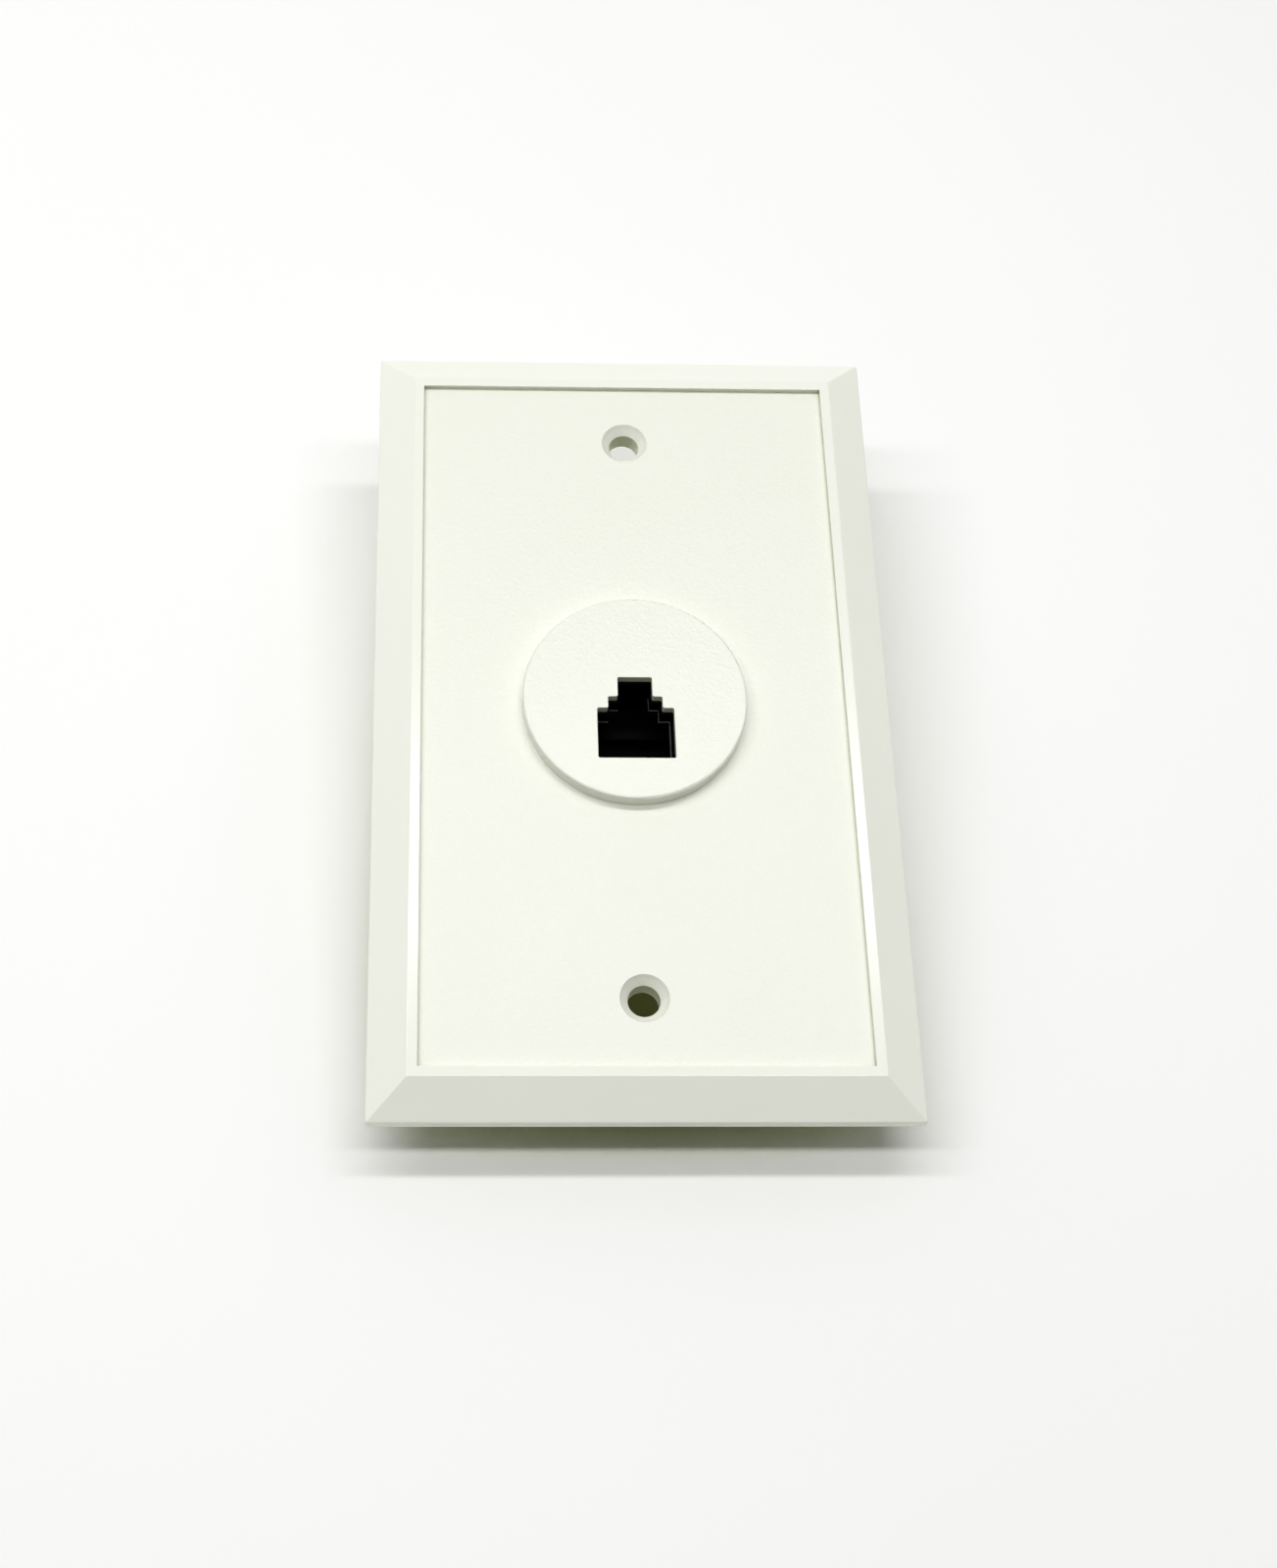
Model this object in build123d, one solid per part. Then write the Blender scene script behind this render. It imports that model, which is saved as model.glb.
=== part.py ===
from build123d import *
from math import atan, cos, hypot, radians, sin, tan
import os

# Flush telephone wall socket, millimetres.
# X is to the right, Z is up the wall, Y goes into the wall.
# Y = 0 is the plate's rear rim, which lies on the wall; the origin is midway between the two mounting holes.

# Wall plate outline
plate_width = 69.85
plate_height = 114.3
lip_height = 1.7
bevel_inset = 5.1
bevel_height = 3.0
land_width = 1.33
recess_depth = 0.78
plate_wall = 2.0
outer_edge_round = 0.3
recess_edge_round = 0.15

# Round boss round the socket
boss_height = 2.14
boss_skin = 1.3
boss_rim_wall = 1.3
jack_to_boss_gap = 0.3
boss_edge_round = 0.3

# Mounting holes
screw_spacing = 83.3
screw_hole_diameter = 4.2
countersink_diameter = 6.4
countersink_angle = 82.0
screw_tube_diameter = 8.0

# Ribs on the back of the plate
rib_thickness = 1.0
rib_gap_to_wall = 0.6
rib_gap_to_block = 3.15
locating_corner_length = 7.0
locating_corner_wall = 1.2
locating_corner_height = 1.3
locating_clearance = 0.15

# Stepped plug opening of the jack, latch uppermost
jack_main_width = 9.8
jack_step_width = 6.8
jack_slot_width = 4.15
jack_main_height = 6.9
jack_step_height = 1.71
jack_slot_height = 2.87
jack_floor_z = -8.88
opening_margin = 0.25
opening_corner_round = 0.25

# Jack shell
jack_length = 13.8
jack_shoulder_depth = 2.6
jack_side_wall = 1.8
jack_top_wall = 1.4
jack_bottom_wall = 1.1
jack_corner_round = 0.8
jack_front_wall = 1.6
jack_mouth_chamfer = 0.25
latch_room_depth = 5.2
flange_proud = 1.2
flange_thickness = 1.5
flange_clearance = 0.1
snap_proud = 0.6
snap_length = 1.8
snap_height = 5.0

# Contact comb and spring wires
wire_diameter = 0.46
wire_pitch = 1.02
wire_count = 4
wire_positions = 6
wire_bend_radius = 0.75
wire_slope = 20.0
wire_free_end_y = 7.2
wire_clearance = 0.02
comb_slot_width = 0.6
comb_thickness = 1.9
comb_edge_rib = 0.35
comb_groove_depth = 0.5
comb_clearance = 0.05
comb_block_length = 2.86
comb_slot_depth = 1.7
comb_slot_top = 3.0
wire_tail = 1.5

# Leads
lead_diameter = 1.1
lead_clearance = 0.05
lead_hole_depth = 2.3
lead_exit_drop = 2.0
lead_inner_offset = 1.1
lead_outer_offset = 3.3
lead_rise = [2.4, 2.0, 2.1, 2.5]
lead_crest_reach = [6.5, 3.4, 3.3, 6.3]
lead_crest_rise = [6.0, 4.6, 4.5, 6.05]
lead_reach = [5.5, 2.6, 2.5, 5.7]
lead_in_barrel = 3.6

# Terminal block
block_depth = 11.8
block_wall = 1.8
block_draft = 0.4
block_corner_round = 2.6
web_thickness = 1.8
web_front_y = 2.2
tube_wall = 1.5
tube_clearance = 0.1
tube_rear_y = 6.6
tower_diameter = 8.4
tower_below_rim = 4.4
tower_foot = 1.5
tower_gap = 1.5
tower_to_side = 8.0
tower_to_end = 8.0
tower_rib = 1.2
tower_rib_drop = 1.2
tower_hole_depth = 5.3
notch_width = 12.0
notch_depth = 5.0
notch_round = 2.0

# Terminal hardware
terminal_shank_diameter = 3.3
terminal_head_diameter = 6.4
terminal_head_height = 2.0
terminal_shank_length = 6.2
terminal_slot_width = 1.0
terminal_slot_depth = 1.1
terminal_head_chamfer = 0.45
terminal_slot_angles = [20.0, -35.0, 62.0, 8.0]
terminal_clearance = 0.05
washer_diameter = 7.4
washer_thickness = 0.5
washer_cup = 0.4
washer_seat = 0.5
washer_hole_clearance = 0.15
lug_diameter = 7.0
lug_thickness = 0.5
lug_slot_clearance = 0.2
lug_neck_width = 2.3
lug_neck_length = 1.3
barrel_length = 4.4
barrel_wall = 0.5
barrel_tilt = [30.0, 25.0, 25.0, 30.0]

# Screws that hold the block to the plate
block_screw_gap = 0.77
block_screw_shank = 2.3
block_screw_head = 5.4
block_screw_head_height = 1.9
block_screw_head_chamfer = 0.7
block_screw_length = 5.8
block_screw_clearance = 0.05
block_screw_web_clearance = 0.35
block_screw_tip = 1.0
block_screw_cross = 0.8
block_screw_cross_span = 3.2
block_screw_cross_depth = 0.9
fixing_boss_wall = 1.8
fixing_hole_into_skin = 0.5

# Levels along Y, from the wall outwards and then inwards
rim_y = 0.0
bevel_y = rim_y - lip_height
land_y = bevel_y - bevel_height
panel_y = land_y + recess_depth
panel_back_y = panel_y + plate_wall
boss_y = panel_y - boss_height
boss_back_y = boss_y + boss_skin
rib_y = rim_y - rib_gap_to_wall
jack_front_y = boss_back_y
jack_rear_y = jack_front_y + jack_length
flange_front_y = panel_back_y + flange_clearance
flange_rear_y = flange_front_y + flange_thickness
web_rear_y = web_front_y + web_thickness
comb_block_y = jack_rear_y - comb_block_length
barrel_radius = lead_diameter / 2 + lead_clearance + barrel_wall

# Levels along Z of the stepped opening
jack_shoulder_z = jack_floor_z + jack_main_height
jack_step_z = jack_shoulder_z + jack_step_height
jack_slot_z = jack_step_z + jack_slot_height

# Outside of the jack shell
jack_width = jack_main_width + 2 * jack_side_wall
jack_top_z = jack_slot_z + jack_top_wall
comb_bottom_z = jack_floor_z - comb_thickness
jack_bottom_z = comb_bottom_z - comb_clearance - jack_bottom_wall
jack_height = jack_top_z - jack_bottom_z
jack_centre_z = (jack_top_z + jack_bottom_z) / 2

# Layout behind the plate: the towers stand beside the tube that takes the jack, in line with the
# two fixing screws, and the block's walls stand round the towers and a little higher.
tube_reach = tube_clearance + tube_wall
tower_top_y = block_depth - tower_below_rim
tower_offset_x = jack_width / 2 + tube_reach + tower_gap + tower_diameter / 2
block_screw_offset_z = tube_reach - jack_bottom_z + block_screw_gap + block_screw_head / 2
tower_offset_z = block_screw_offset_z
block_width = 2 * (tower_offset_x + tower_to_side)
block_height = 2 * (tower_offset_z + tower_to_end)
rib_offset_x = block_width / 2 + locating_clearance + locating_corner_wall + rib_gap_to_block + rib_thickness / 2

# The boss closes over the front end of the jack shell with its corners clear of the boss's wall
jack_corner_reach = hypot(jack_width / 2 - jack_corner_round, -jack_bottom_z - jack_corner_round) + jack_corner_round
boss_diameter = 2 * (jack_corner_reach + jack_to_boss_gap + boss_rim_wall)

# Contact comb
comb_width = (wire_positions - 1) * wire_pitch + comb_slot_width + 2 * comb_edge_rib
wire_radius = wire_diameter / 2
wire_low_z = comb_bottom_z + comb_groove_depth - wire_radius - wire_clearance
core_radius = wire_bend_radius - wire_radius - wire_clearance
core_z = wire_low_z + wire_bend_radius
comb_nose_reach = wire_bend_radius + wire_radius + 0.1
comb_front_y = jack_front_y + jack_front_wall + comb_clearance
wire_nose_y = comb_front_y + comb_nose_reach

# Terminal positions, going round from upper right
towers = [
    (tower_offset_x, tower_offset_z),
    (tower_offset_x, -tower_offset_z),
    (-tower_offset_x, -tower_offset_z),
    (-tower_offset_x, tower_offset_z),
]
lead_exit_z = jack_shoulder_z - lead_exit_drop
lead_exits = [
    (lead_outer_offset, lead_exit_z),
    (lead_inner_offset, lead_exit_z),
    (-lead_inner_offset, lead_exit_z),
    (-lead_outer_offset, lead_exit_z),
]
lead_names = ["lead_green", "lead_red", "lead_black", "lead_yellow"]
block_screws = {"block_screw_top": block_screw_offset_z, "block_screw_bottom": -block_screw_offset_z}


def facing(y, x=0.0, z=0.0):
    # A plane parallel to the wall, seen from the room: X to the right, Z up.
    return Plane(origin=(x, y, z), x_dir=(1, 0, 0), z_dir=(0, -1, 0))


def prism(sketch, front_y, rear_y):
    # A sketch drawn as seen from the room, carried from its front level to its rear level.
    return extrude(facing(rear_y) * sketch, rear_y - front_y)


def rear_frame(y, x, z, toward_x=1.0, toward_z=0.0):
    # Local axes of a part that stands on a face looking away from the room.
    return Plane(origin=(x, y, z), x_dir=(toward_x, 0, toward_z), z_dir=(0, 1, 0))


def stepped_opening(margin):
    # The plug opening: wide below for the plug, two shoulders, and the latch slot on top.
    main = jack_main_width / 2 + margin
    step = jack_step_width / 2 + margin
    slot = jack_slot_width / 2 + margin
    low = jack_floor_z - margin
    shoulder = jack_shoulder_z + margin
    ledge = jack_step_z + margin
    top = jack_slot_z + margin
    right = [(main, low), (main, shoulder), (step, shoulder), (step, ledge), (slot, ledge), (slot, top)]
    left = [(-x, z) for x, z in reversed(right)]
    return make_face(Polyline(*right, *left, close=True))


def bevelled_blank():
    # Lip and mitred bevel as one block, with every outer edge slightly rounded.
    lip = prism(Rectangle(plate_width, plate_height), bevel_y, rim_y)
    foot = facing(bevel_y) * Rectangle(plate_width, plate_height)
    crown = facing(land_y) * Rectangle(plate_width - 2 * bevel_inset, plate_height - 2 * bevel_inset)
    blank = lip + loft([foot, crown], ruled=True)
    edges = [e for e in blank.edges() if e.bounding_box().min.Y < rim_y - 0.01]
    return fillet(edges, outer_edge_round)


def plate_hollow():
    # The hollow back follows the bevel at an even wall.
    slope = bevel_height / bevel_inset
    upright = plate_wall / cos(atan(slope))
    step_y = bevel_y - slope * plate_wall + upright
    top_inset = (bevel_y + upright - panel_back_y) / slope
    mouth = Rectangle(plate_width - 2 * plate_wall, plate_height - 2 * plate_wall)
    roof = Rectangle(plate_width - 2 * top_inset, plate_height - 2 * top_inset)
    return prism(mouth, step_y, rim_y) + loft([facing(step_y) * mouth, facing(panel_back_y) * roof], ruled=True)


def plate_ribs():
    # Two long ribs, two cross ribs through the screw tubes, and four corners that locate the block.
    long_rib = Rectangle(rib_thickness, plate_height - 2 * plate_wall)
    cross_rib = Rectangle(2 * rib_offset_x, rib_thickness)
    ribs = Pos(rib_offset_x, 0) * long_rib + Pos(-rib_offset_x, 0) * long_rib
    ribs += Pos(0, screw_spacing / 2) * cross_rib + Pos(0, -screw_spacing / 2) * cross_rib
    inner_width = block_width + 2 * locating_clearance
    inner_height = block_height + 2 * locating_clearance
    inner_round = block_corner_round + locating_clearance
    outer_round = inner_round + locating_corner_wall
    ring = RectangleRounded(inner_width + 2 * locating_corner_wall, inner_height + 2 * locating_corner_wall, outer_round)
    ring -= RectangleRounded(inner_width, inner_height, inner_round)
    ring -= Rectangle(inner_width - 2 * locating_corner_length, plate_height)
    ring -= Rectangle(plate_width, inner_height - 2 * locating_corner_length)
    return prism(ribs, panel_back_y, rib_y) + prism(ring, panel_back_y, panel_back_y + locating_corner_height)


def make_face_plate():
    recess = Rectangle(
        plate_width - 2 * (bevel_inset + land_width),
        plate_height - 2 * (bevel_inset + land_width),
    )
    plate = bevelled_blank() - prism(recess, land_y - 1, panel_y)
    rim = [e for e in plate.edges() if abs(e.center().Y - land_y) < 0.001]
    recess_reach = plate_width / 2 - bevel_inset - land_width
    recess_rise = plate_height / 2 - bevel_inset - land_width
    rim = [e for e in rim if abs(e.center().X) < recess_reach + 0.01 and abs(e.center().Z) < recess_rise + 0.01]
    plate = fillet(rim, recess_edge_round)
    plate -= plate_hollow()
    boss = prism(Circle(boss_diameter / 2), boss_y, panel_back_y)
    boss = fillet(boss.edges().sort_by(Axis.Y)[0], boss_edge_round)
    plate += boss
    plate -= prism(Circle(boss_diameter / 2 - boss_rim_wall), boss_back_y, panel_back_y)
    ribs = plate_ribs()
    ribs -= prism(Circle(boss_diameter / 2), panel_back_y - 1, rim_y)
    plate += ribs
    sink_depth = (countersink_diameter - screw_hole_diameter) / 2 / tan(radians(countersink_angle / 2))
    for z in (screw_spacing / 2, -screw_spacing / 2):
        plate += prism(Pos(0, z) * Circle(screw_tube_diameter / 2), panel_y + sink_depth, rim_y)
        plate -= prism(Pos(0, z) * Circle(screw_hole_diameter / 2), panel_y - 1, rim_y + 1)
        sink = Cone(screw_hole_diameter / 2, countersink_diameter / 2, sink_depth, align=(Align.CENTER, Align.CENTER, Align.MIN))
        plate -= facing(panel_y + sink_depth, 0, z) * sink
    fixing_hole = block_screw_shank / 2 + block_screw_clearance
    for z in block_screws.values():
        boss = Circle(fixing_hole + fixing_boss_wall)
        gusset = Rectangle(4 * fixing_boss_wall + 2 * fixing_hole, rib_thickness)
        plate += prism(Pos(0, z) * boss, panel_back_y, web_front_y)
        plate += prism(Pos(0, z) * gusset, panel_back_y, (panel_back_y + web_front_y) / 2)
        plate -= prism(Pos(0, z) * Circle(fixing_hole), panel_back_y - fixing_hole_into_skin, web_front_y + 1)
    opening = prism(stepped_opening(opening_margin), boss_y - 1, boss_back_y + 1)
    upright = [e for e in opening.edges() if abs(e.bounding_box().size.Y - boss_skin - 2) < 0.001]
    plate -= fillet(upright, opening_corner_round)
    return plate


def make_jack_housing():
    outline = Pos(0, jack_centre_z) * RectangleRounded(jack_width, jack_height, jack_corner_round)
    flange = Pos(0, jack_centre_z) * RectangleRounded(
        jack_width + 2 * flange_proud,
        jack_height + 2 * flange_proud,
        jack_corner_round + flange_proud,
    )
    shell = prism(outline, jack_front_y, jack_rear_y)
    shell += prism(flange, flange_front_y, flange_rear_y)
    shell -= prism(stepped_opening(0), jack_front_y - 1, jack_front_y + jack_shoulder_depth)
    lead_in = facing(jack_front_y) * stepped_opening(jack_mouth_chamfer)
    shell -= loft([lead_in, facing(jack_front_y + jack_mouth_chamfer) * stepped_opening(0)], ruled=True)
    shoulder_y = jack_front_y + jack_shoulder_depth
    latch_room = Pos(0, (jack_floor_z + jack_slot_z) / 2) * Rectangle(jack_main_width, jack_slot_z - jack_floor_z)
    shell -= prism(latch_room, shoulder_y, shoulder_y + latch_room_depth)
    bore = Pos(0, (jack_floor_z + jack_shoulder_z) / 2) * Rectangle(jack_main_width, jack_main_height)
    shell -= prism(bore, shoulder_y, jack_rear_y + 1)
    pocket_height = comb_thickness + comb_clearance
    pocket = Pos(0, jack_floor_z - pocket_height / 2) * Rectangle(comb_width + 2 * comb_clearance, pocket_height)
    shell -= prism(pocket, comb_front_y - comb_clearance, jack_rear_y + 1)
    rear = Pos(0, jack_floor_z - pocket_height / 2) * Rectangle(jack_main_width, pocket_height)
    shell -= prism(rear, comb_block_y, jack_rear_y + 1)
    snap_y = tube_rear_y + comb_clearance
    for side in (1, -1):
        root = side * jack_width / 2
        tip = side * (jack_width / 2 + snap_proud)
        wedge = make_face(Polyline((root, snap_y), (tip, snap_y), (tip, snap_y + 0.4), (root, snap_y + snap_length), close=True))
        wedge = extrude(Plane.XY.offset(jack_centre_z - snap_height / 2) * wedge, snap_height)
        shell += wedge
    return shell


def make_contact_carrier():
    # A blade with a rounded nose, ribbed above and below so that each spring wire lies in its own slot.
    rib_side = make_face(
        Polyline(
            (comb_block_y, comb_bottom_z),
            (comb_front_y, comb_bottom_z),
            (comb_front_y, jack_floor_z),
            (comb_block_y, jack_floor_z),
            close=True,
        )
    )
    side = Plane(origin=(-comb_width / 2, 0, 0), x_dir=(0, 1, 0), z_dir=(1, 0, 0))
    ribs = extrude(side * rib_side, comb_width)
    nose = [e for e in ribs.edges().filter_by(Axis.X) if abs(e.center().Y - comb_front_y) < 0.001]
    ribs = fillet(nose, comb_thickness * 0.4)
    slots = Part() + [
        Pos(wire_pitch * (i - (wire_positions - 1) / 2), (comb_front_y + comb_block_y) / 2, jack_floor_z - comb_thickness / 2)
        * Box(comb_slot_width, comb_block_y - comb_front_y, comb_thickness)
        for i in range(wire_positions)
    ]
    ribs -= slots
    core = Pos((wire_nose_y + comb_block_y) / 2, core_z) * Rectangle(comb_block_y - wire_nose_y, 2 * core_radius)
    core += Pos(wire_nose_y, core_z) * Circle(core_radius)
    ribs += extrude(side * core, comb_width)
    block_top = jack_shoulder_z - comb_clearance
    block_width_x = jack_main_width - 2 * comb_clearance
    block = Pos(0, (block_top + comb_bottom_z) / 2) * Rectangle(block_width_x, block_top - comb_bottom_z)
    carrier = ribs + prism(block, comb_block_y, jack_rear_y)
    groove_end_y = jack_rear_y - wire_tail
    slot_low = core_z + core_radius
    slot_high = block_top - comb_slot_top
    for i in range(wire_positions):
        x = wire_pitch * (i - (wire_positions - 1) / 2)
        groove = Pos(x, comb_bottom_z + comb_groove_depth / 2) * Rectangle(comb_slot_width, comb_groove_depth)
        carrier -= prism(groove, comb_block_y - 0.5, groove_end_y)
        slot = Pos(x, (slot_low + slot_high) / 2) * Rectangle(comb_slot_width, slot_high - slot_low)
        carrier -= prism(slot, comb_block_y - 0.5, comb_block_y + comb_slot_depth)
    for x, z in lead_exits:
        hole = Pos(x, z) * Circle(lead_diameter / 2 + lead_clearance)
        carrier -= prism(hole, jack_rear_y - lead_hole_depth, jack_rear_y + 1)
    return carrier


def make_contact_wire(x):
    # Back along the underside of the blade, round its nose, then up at a slope into the comb.
    corner_y = wire_nose_y - wire_bend_radius * tan(radians((180 - wire_slope) / 2))
    rise = (wire_free_end_y - corner_y) * tan(radians(wire_slope))
    path = FilletPolyline(
        (x, jack_rear_y - wire_tail, wire_low_z),
        (x, corner_y, wire_low_z),
        (x, wire_free_end_y, wire_low_z + rise),
        radius=wire_bend_radius,
    )
    return sweep(Plane(origin=path @ 0, z_dir=path % 0) * Circle(wire_radius), path=path)


def drafted(width, height, radius, front_y, rear_y):
    # A box that narrows towards the rear, as it must to leave its mould.
    taper = block_draft * (rear_y - front_y) / (block_depth - panel_back_y)
    front = facing(front_y) * RectangleRounded(width, height, radius)
    rear = facing(rear_y) * RectangleRounded(width - 2 * taper, height - 2 * taper, radius)
    return loft([front, rear], ruled=True)


def make_terminal_block():
    inner_width = block_width - 2 * block_wall
    inner_height = block_height - 2 * block_wall
    inner_round = block_corner_round - block_wall * 0.6
    block = drafted(block_width, block_height, block_corner_round, panel_back_y, block_depth)
    inside = RectangleRounded(inner_width, inner_height, inner_round)
    tube_width = jack_width + 2 * tube_clearance
    tube_height = jack_height + 2 * tube_clearance
    tube = RectangleRounded(tube_width + 2 * tube_wall, tube_height + 2 * tube_wall, jack_corner_round + tube_clearance + tube_wall)
    bore = RectangleRounded(tube_width, tube_height, jack_corner_round + tube_clearance)
    block -= prism(inside, panel_back_y, web_front_y)
    block -= prism(inside, web_rear_y, block_depth + 1)
    block += prism(Pos(0, jack_centre_z) * tube, flange_rear_y, tube_rear_y)
    block -= prism(Pos(0, jack_centre_z) * bore, panel_back_y, block_depth)
    shank_hole = terminal_shank_diameter / 2 + terminal_clearance
    for x, z in towers:
        side_x = 1 if x > 0 else -1
        side_z = 1 if z > 0 else -1
        to_side = inner_width / 2 - abs(x) + block_wall / 4
        to_end = inner_height / 2 - abs(z) + block_wall / 4
        ribs = Pos(x + side_x * to_side / 2, z) * Rectangle(to_side, tower_rib)
        ribs += Pos(x, z + side_z * to_end / 2) * Rectangle(tower_rib, to_end)
        block += prism(ribs, web_rear_y, tower_top_y - tower_rib_drop)
        block += prism(Pos(x, z) * Circle(tower_diameter / 2), web_front_y - tower_foot, tower_top_y)
        block -= prism(Pos(x, z) * Circle(shank_hole), tower_top_y - tower_hole_depth, tower_top_y + 1)
    for z in block_screws.values():
        hole = block_screw_shank / 2 + block_screw_web_clearance
        block -= prism(Pos(0, z) * Circle(hole), web_front_y - 1, web_rear_y + 1)
    for side in (1, -1):
        notch = Plane.XY * Pos(0, block_depth) * RectangleRounded(notch_width, 2 * notch_depth, notch_round)
        block -= Pos(0, 0, side * block_height / 2 - block_wall * 2) * extrude(notch, 4 * block_wall)
    return block


def lug_plane(index):
    # Each lug turns towards the point where its lead leaves the jack.
    x, z = towers[index]
    ex, ez = lead_exits[index]
    length = hypot(ex - x, ez - z)
    return rear_frame(tower_top_y, x, z, (ex - x) / length, (ez - z) / length)


def barrel_location(index):
    # The crimp barrel starts at the end of the neck and is bent up from the fork.
    start = lug_diameter / 2 + lug_neck_length
    return Pos(start, 0, lug_thickness / 2) * Rot(0, 90 - barrel_tilt[index], 0)


def make_spade_lug(index):
    shank = terminal_shank_diameter + 2 * lug_slot_clearance
    fork = Circle(lug_diameter / 2) - Circle(shank / 2) - Pos(-lug_diameter / 2, 0) * Rectangle(lug_diameter, shank)
    neck_end = lug_diameter / 2 + lug_neck_length
    neck_start = shank / 2 + (lug_diameter - shank) / 4
    fork += Pos((neck_start + neck_end) / 2, 0) * Rectangle(neck_end - neck_start, lug_neck_width)
    flat = extrude(fork, lug_thickness)
    low = (Align.CENTER, Align.CENTER, Align.MIN)
    rise = barrel_radius - lug_thickness / 2
    barrel = Pos(-rise, 0, 0) * Cylinder(barrel_radius, barrel_length, align=low)
    lug = flat + barrel_location(index) * barrel
    bore = Pos(-rise, 0, 0) * Cylinder(lead_diameter / 2 + lead_clearance, barrel_length * 3)
    lug -= barrel_location(index) * bore
    span = 4 * (neck_end + barrel_length)
    under = Box(span, span, span, align=(Align.CENTER, Align.CENTER, Align.MAX))
    return lug_plane(index) * (lug - under)


def make_cup_washer(index):
    # A dished ring: its outer seat lies on the lug and its raised middle carries the screw head.
    hole = terminal_shank_diameter / 2 + washer_hole_clearance
    rim = washer_diameter / 2
    profile = make_face(
        Polyline(
            (rim - washer_seat, 0),
            (rim, 0),
            (rim, washer_thickness),
            (rim - washer_seat, washer_thickness + 0.05),
            (terminal_head_diameter / 2 - 0.4, washer_cup + washer_thickness),
            (hole, washer_cup + washer_thickness),
            (hole, washer_cup),
            (terminal_head_diameter / 2 - 0.4, washer_cup),
            close=True,
        )
    )
    ring = revolve(Plane.XZ * profile, Axis.Z)
    x, z = towers[index]
    return rear_frame(tower_top_y + lug_thickness, x, z) * ring


def make_terminal_screw(index):
    radius = terminal_head_diameter / 2
    shank = terminal_shank_diameter / 2
    head = Cylinder(radius, terminal_head_height, align=(Align.CENTER, Align.CENTER, Align.MIN))
    head = chamfer(head.edges().sort_by(Axis.Z)[-1], terminal_head_chamfer)
    body = Cylinder(shank, terminal_shank_length, align=(Align.CENTER, Align.CENTER, Align.MAX))
    body = chamfer(body.edges().sort_by(Axis.Z)[0], shank * 0.35)
    slot = Pos(0, 0, terminal_head_height) * Box(2 * terminal_head_diameter, terminal_slot_width, 2 * terminal_slot_depth)
    screw = head + body - slot
    x, z = towers[index]
    seat_y = tower_top_y + lug_thickness + washer_cup + washer_thickness
    return rear_frame(seat_y, x, z) * Rot(0, 0, terminal_slot_angles[index]) * screw


def make_block_screw(z):
    head = Cylinder(block_screw_head / 2, block_screw_head_height, align=(Align.CENTER, Align.CENTER, Align.MIN))
    head = chamfer(head.edges().sort_by(Axis.Z)[-1], block_screw_head_chamfer)
    shank = Cylinder(block_screw_shank / 2, block_screw_length, align=(Align.CENTER, Align.CENTER, Align.MAX))
    shank = chamfer(shank.edges().sort_by(Axis.Z)[0], block_screw_tip, block_screw_shank * 0.35)
    cross = Box(block_screw_cross_span, block_screw_cross, 2 * block_screw_cross_depth)
    cross += Box(block_screw_cross, block_screw_cross_span, 2 * block_screw_cross_depth)
    screw = head + shank - Pos(0, 0, block_screw_head_height) * cross
    return rear_frame(web_rear_y, 0, z) * Rot(0, 0, 25) * screw


def make_lead(index):
    # Out of the jack, over in one easy hump and down into the bent barrel of its lug.
    ex, ez = lead_exits[index]
    tx, tz = towers[index]
    length = hypot(tx - ex, tz - ez)
    ux = (tx - ex) / length
    uz = (tz - ez) / length
    tilt = radians(barrel_tilt[index])
    rise = barrel_radius - lug_thickness / 2
    foot_u = length - lug_diameter / 2 - lug_neck_length + rise * sin(tilt)
    foot_y = tower_top_y + lug_thickness / 2 + rise * cos(tilt)
    inner = barrel_length - lead_in_barrel
    outer = barrel_length + lead_reach[index]
    plane_points = [
        (0.0, jack_rear_y - lead_hole_depth),
        (0.0, jack_rear_y + lead_rise[index]),
        (lead_crest_reach[index], jack_rear_y + lead_crest_rise[index]),
        (foot_u - outer * cos(tilt), foot_y + outer * sin(tilt)),
        (foot_u - inner * cos(tilt), foot_y + inner * sin(tilt)),
    ]
    points = [Vector(ex + ux * u, y, ez + uz * u) for u, y in plane_points]
    runs = [end - start for start, end in zip(points, points[1:])]
    radii = []
    for first, second in zip(runs, runs[1:]):
        turn = radians(first.get_angle(second))
        radii.append(0.45 * min(first.length, second.length) / tan(turn / 2))
    print(lead_names[index], "bend radii", [round(r, 2) for r in radii])
    path = FilletPolyline(*points, radius=radii)
    return sweep(Plane(origin=path @ 0, z_dir=path % 0) * Circle(lead_diameter / 2), path=path)


def save(shape, node):
    shape.label = node
    export_step(shape, "parts/" + node + ".step")


os.makedirs("parts", exist_ok=True)
save(make_face_plate(), "face_plate")
save(make_jack_housing(), "jack_housing")
save(make_contact_carrier(), "contact_carrier")
save(make_terminal_block(), "terminal_block")
for number in range(wire_count):
    save(make_contact_wire(wire_pitch * (number - (wire_count - 1) / 2)), f"contact_wire_{number + 1}")
for number in range(len(towers)):
    save(make_lead(number), lead_names[number])
    save(make_spade_lug(number), f"spade_lug_{number + 1}")
    save(make_cup_washer(number), f"cup_washer_{number + 1}")
    save(make_terminal_screw(number), f"terminal_screw_{number + 1}")
for node, height in block_screws.items():
    save(make_block_screw(height), node)
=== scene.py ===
import math

import bpy
from mathutils import Matrix, Vector

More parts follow.
